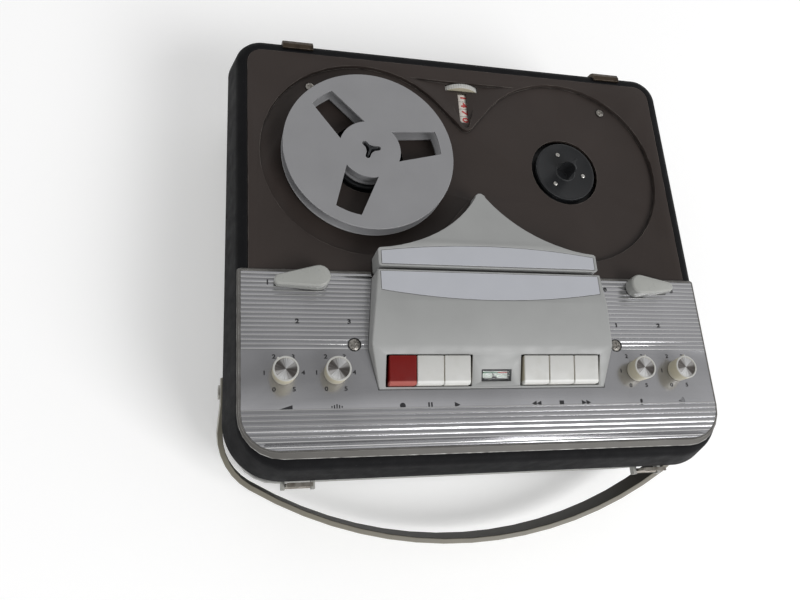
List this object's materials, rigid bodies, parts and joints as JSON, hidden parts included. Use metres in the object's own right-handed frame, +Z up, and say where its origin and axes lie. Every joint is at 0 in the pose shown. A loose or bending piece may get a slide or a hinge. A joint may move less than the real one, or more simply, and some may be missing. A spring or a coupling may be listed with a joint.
{
  "type": "reel-to-reel tape recorder",
  "caption": "Portable reel-to-reel tape recorder with its lid off: ribbed control panel, piano keys, level meter, knobs, selector levers, an empty reel, a counter and a bail handle.",
  "frame": {"origin": "middle of the bounding box in plan, on the table under the feet", "axes": "+X to the user's right, -Y towards the user at the keys, +Z up"},
  "size_m": [0.4306, 0.4328, 0.1507],
  "materials": {
    "black_leatherette": "grained",
    "grey_shell": "satin",
    "brown_deck": "fine grain",
    "grey_plastic": "satin",
    "ivory_plastic": "semi-gloss",
    "red_plastic": "semi-gloss",
    "reel_plastic": "satin",
    "black_plastic": "satin",
    "satin_plate": "satin lacquer",
    "ribbed_aluminium": "brushed",
    "bright_steel": "turned",
    "zinc_plate": "zinc plated",
    "rubber": "matte",
    "clear_window": "clear",
    "circuit_board": "varnished",
    "speaker_frame": "painted",
    "number_wheel": "satin",
    "handle_band": "satin",
    "needle_black": "matte"
  },
  "bodies": {
    "case": {"case_rim": "black_leatherette", "lower_shell": "grey_shell", "base_cover": "grey_shell", "foot_front_left": "rubber", "foot_front_right": "rubber", "foot_rear_left": "rubber", "foot_rear_right": "rubber", "deck_plate": "brown_deck", "deck_screw_left": "bright_steel", "deck_screw_right": "bright_steel", "panel_screw_left": "bright_steel", "panel_screw_right": "bright_steel", "chassis_plate": "zinc_plate", "panel_frame": "grey_plastic", "panel_sheet": "ribbed_aluminium", "head_cover_rear": "grey_plastic", "head_cover_front": "grey_plastic", "front_plate": "satin_plate", "rear_plate": "satin_plate", "head_bridge": "zinc_plate", "level_meter": "black_plastic", "meter_window": "clear_window", "potentiometers": "zinc_plate", "counter_bracket": "zinc_plate", "motor": "zinc_plate", "mains_transformer": "zinc_plate", "amplifier_board": "circuit_board", "loudspeaker": "speaker_frame", "mains_inlet": "black_plastic", "handle_pivot_left": "bright_steel", "handle_pivot_right": "bright_steel", "lid_lug_left": "zinc_plate", "lid_lug_right": "zinc_plate", "drive_belt": "rubber"},
    "key_record": {"key_record": "red_plastic"},
    "key_pause": {"key_pause": "ivory_plastic"},
    "key_play": {"key_play": "ivory_plastic"},
    "key_rewind": {"key_rewind": "ivory_plastic"},
    "key_stop": {"key_stop": "ivory_plastic"},
    "key_forward": {"key_forward": "ivory_plastic"},
    "volume_knob": {"volume_knob": "ivory_plastic"},
    "tone_knob": {"tone_knob": "ivory_plastic"},
    "microphone_knob": {"microphone_knob": "ivory_plastic"},
    "radio_knob": {"radio_knob": "ivory_plastic"},
    "track_selector": {"track_selector": "grey_plastic"},
    "speed_selector": {"speed_selector": "grey_plastic"},
    "feed_turntable": {"feed_turntable": "black_plastic", "reel_body": "reel_plastic", "reel_top_flange": "reel_plastic"},
    "takeup_turntable": {"takeup_turntable": "black_plastic"},
    "number_wheels": {"number_wheels": "number_wheel"},
    "counter_reset_wheel": {"counter_reset_wheel": "ivory_plastic"},
    "flywheel": {"flywheel": "bright_steel"},
    "motor_pulley": {"motor_pulley": "bright_steel"},
    "pinch_arm": {"pinch_arm": "zinc_plate"},
    "pinch_roller": {"pinch_roller": "rubber"},
    "handle": {"handle": "handle_band"},
    "latch_left": {"latch_left": "zinc_plate"},
    "latch_right": {"latch_right": "zinc_plate"},
    "meter_needle": {"meter_needle": "needle_black"}
  },
  "joints": [
    {"name": "key_record_press", "type": "hinge", "parent": "case", "child": "key_record", "pos_m": [-0.07825, -0.04985, 0.1358], "axis": [1, 0, 0], "range_deg": [0, 5], "stiffness_Nm_per_rad": 0.3, "springref_deg": -5.73},
    {"name": "key_pause_press", "type": "hinge", "parent": "case", "child": "key_pause", "pos_m": [-0.056, -0.04985, 0.1358], "axis": [1, 0, 0], "range_deg": [0, 5], "stiffness_Nm_per_rad": 0.3, "springref_deg": -5.73},
    {"name": "key_play_press", "type": "hinge", "parent": "case", "child": "key_play", "pos_m": [-0.03375, -0.04985, 0.1358], "axis": [1, 0, 0], "range_deg": [0, 5], "stiffness_Nm_per_rad": 0.3, "springref_deg": -5.73},
    {"name": "key_rewind_press", "type": "hinge", "parent": "case", "child": "key_rewind", "pos_m": [0.03375, -0.04985, 0.1358], "axis": [1, 0, 0], "range_deg": [0, 5], "stiffness_Nm_per_rad": 0.3, "springref_deg": -5.73},
    {"name": "key_stop_press", "type": "hinge", "parent": "case", "child": "key_stop", "pos_m": [0.056, -0.04985, 0.1358], "axis": [1, 0, 0], "range_deg": [0, 5], "stiffness_Nm_per_rad": 0.3, "springref_deg": -5.73},
    {"name": "key_forward_press", "type": "hinge", "parent": "case", "child": "key_forward", "pos_m": [0.07825, -0.04985, 0.1358], "axis": [1, 0, 0], "range_deg": [0, 5], "stiffness_Nm_per_rad": 0.3, "springref_deg": -5.73},
    {"name": "volume_turn", "type": "hinge", "parent": "case", "child": "volume_knob", "pos_m": [-0.1688, -0.08715, 0.1306], "axis": [0, 0, 1], "range_deg": [-183, 115]},
    {"name": "tone_turn", "type": "hinge", "parent": "case", "child": "tone_knob", "pos_m": [-0.1295, -0.08715, 0.1306], "axis": [0, 0, 1], "range_deg": [-117, 181]},
    {"name": "microphone_turn", "type": "hinge", "parent": "case", "child": "microphone_knob", "pos_m": [0.1295, -0.08715, 0.1306], "axis": [0, 0, 1], "range_deg": [-139, 159]},
    {"name": "radio_turn", "type": "hinge", "parent": "case", "child": "radio_knob", "pos_m": [0.1688, -0.08715, 0.1306], "axis": [0, 0, 1], "range_deg": [-149, 149]},
    {"name": "track_select", "type": "hinge", "parent": "case", "child": "track_selector", "pos_m": [-0.141, -0.01235, 0.131], "axis": [0, 0, 1], "range_deg": [0, 121]},
    {"name": "speed_select", "type": "hinge", "parent": "case", "child": "speed_selector", "pos_m": [0.141, -0.01235, 0.131], "axis": [0, 0, 1], "range_deg": [-180, 0]},
    {"name": "feed_spin", "type": "hinge", "parent": "case", "child": "feed_turntable", "pos_m": [-0.094, 0.10315, 0.1255], "axis": [0, 0, 1], "continuous": true},
    {"name": "takeup_spin", "type": "hinge", "parent": "case", "child": "takeup_turntable", "pos_m": [0.094, 0.10315, 0.1255], "axis": [0, 0, 1], "continuous": true},
    {"name": "counter_spin", "type": "hinge", "parent": "case", "child": "number_wheels", "pos_m": [0, 0.14665, 0.108], "axis": [0, 1, 0], "continuous": true},
    {"name": "counter_reset_spin", "type": "hinge", "parent": "case", "child": "counter_reset_wheel", "pos_m": [0, 0.18025, 0.108], "axis": [0, 1, 0], "continuous": true},
    {"name": "capstan_spin", "type": "hinge", "parent": "case", "child": "flywheel", "pos_m": [0.045, -0.01695, 0.106], "axis": [0, 0, 1], "continuous": true},
    {"name": "motor_spin", "type": "hinge", "parent": "case", "child": "motor_pulley", "pos_m": [-0.072, -0.02185, 0.111], "axis": [0, 0, 1], "continuous": true},
    {"name": "pinch_swing", "type": "hinge", "parent": "case", "child": "pinch_arm", "pos_m": [0.072, -0.03595, 0.1306], "axis": [0, 0, 1], "range_deg": [-6.8, 0], "stiffness_Nm_per_rad": 0.05, "springref_deg": 2.86},
    {"name": "pinch_roller_spin", "type": "hinge", "parent": "pinch_arm", "child": "pinch_roller", "pos_m": [0.045, -0.03195, 0.1327], "axis": [0, 0, 1], "continuous": true},
    {"name": "handle_lift", "type": "hinge", "parent": "case", "child": "handle", "pos_m": [0, -0.08585, 0.05914], "axis": [-1, 0, 0], "range_deg": [0, 18]},
    {"name": "latch_left_open", "type": "hinge", "parent": "case", "child": "latch_left", "pos_m": [-0.154, -0.16535, 0.08], "axis": [1, 0, 0], "range_deg": [0, 80]},
    {"name": "latch_right_open", "type": "hinge", "parent": "case", "child": "latch_right", "pos_m": [0.154, -0.16535, 0.08], "axis": [1, 0, 0], "range_deg": [0, 80]},
    {"name": "needle_swing", "type": "hinge", "parent": "case", "child": "meter_needle", "pos_m": [0, -0.09157, 0.13047], "axis": [0, -0.3641, 0.9314], "range_deg": [-80, 0], "stiffness_Nm_per_rad": 0.00005}
  ],
  "couplings": [
    {"joint": "motor_spin", "follows": "capstan_spin", "ratio": 5.8667},
    {"joint": "counter_spin", "follows": "feed_spin", "ratio": 0.1}
  ]
}
